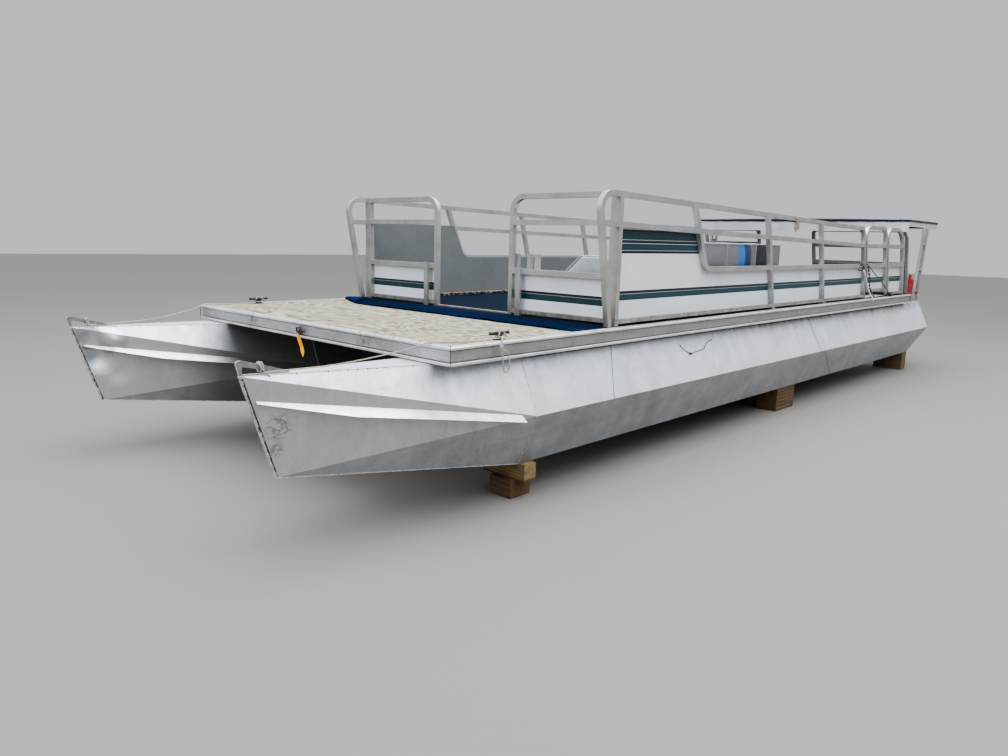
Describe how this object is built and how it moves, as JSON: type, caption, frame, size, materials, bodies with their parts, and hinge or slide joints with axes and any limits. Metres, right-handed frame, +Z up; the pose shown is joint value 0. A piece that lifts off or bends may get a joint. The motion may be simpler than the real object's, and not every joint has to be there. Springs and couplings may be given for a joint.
{
  "type": "pontoon boat",
  "caption": "Flat deck on wedge-bowed floats, square-tube fence with sheet panels, side gate, low stern canopy, lounge, standing on timber blocks.",
  "frame": {"origin": "centre of the object's plan on the ground, at the underside of the timber blocks", "axes": "+X to the bow, +Y to port, +Z up"},
  "size_m": [8.1511, 2.5756, 1.644],
  "materials": {
    "pontoon_aluminium": "brushed, weathered",
    "frame_aluminium": "satin mill finish",
    "trim_aluminium": "satin beads on a grey web",
    "panel_white": "gloss white with dark teal stripes",
    "plywood": "weathered, bare",
    "carpet_blue": "worn marine carpet",
    "canopy_navy": "taut vinyl",
    "canopy_white": "satin",
    "lounge_plastic": "moulded",
    "lounge_vinyl": "aged vinyl",
    "stainless": "polished",
    "red_plastic": "moulded",
    "timber": "rough sawn",
    "rope_white": "worn laid rope"
  },
  "bodies": {
    "hull": {"port_pontoon": "pontoon_aluminium", "starboard_pontoon": "pontoon_aluminium", "port_spray_rails": "pontoon_aluminium", "starboard_spray_rails": "pontoon_aluminium", "tow_plates": "pontoon_aluminium", "deck_beams": "frame_aluminium", "port_saddles": "frame_aluminium", "starboard_saddles": "frame_aluminium", "deck_plywood": "plywood", "deck_carpet": "carpet_blue", "bow_trim": "trim_aluminium", "stern_trim": "trim_aluminium", "port_trim": "trim_aluminium", "starboard_trim": "trim_aluminium", "motor_mount": "frame_aluminium", "port_bow_fence": "frame_aluminium", "starboard_bow_fence": "frame_aluminium", "port_bow_panel": "panel_white", "starboard_bow_panel": "panel_white", "bow_threshold": "frame_aluminium", "port_side_fence": "frame_aluminium", "starboard_side_fence": "frame_aluminium", "port_side_panel": "panel_white", "starboard_side_panel": "panel_white", "gate_hinges": "stainless", "port_aft_fence": "frame_aluminium", "port_aft_panel": "panel_white", "starboard_aft_fence": "frame_aluminium", "starboard_aft_panel": "panel_white", "stern_fences": "frame_aluminium", "stern_panels": "panel_white", "canopy_frame": "canopy_white", "canopy_cover": "canopy_navy", "canopy_legs": "frame_aluminium", "lounge_base": "lounge_plastic", "lounge_cushion": "lounge_vinyl", "lounge_back": "lounge_vinyl", "port_line_tail": "rope_white", "deck_cleats": "stainless", "oil_bottle": "red_plastic", "bow_blocks": "timber", "middle_blocks": "timber", "stern_blocks": "timber"},
    "port_gate": {"port_gate_frame": "frame_aluminium", "port_gate_panel": "panel_white"}
  },
  "joints": [
    {"name": "port_gate_hinge", "type": "hinge", "parent": "hull", "child": "port_gate", "pos_m": [-2.706, 1.133, 1.146], "axis": [-0.2696, 0, -0.963], "range_deg": [0, 90]}
  ]
}
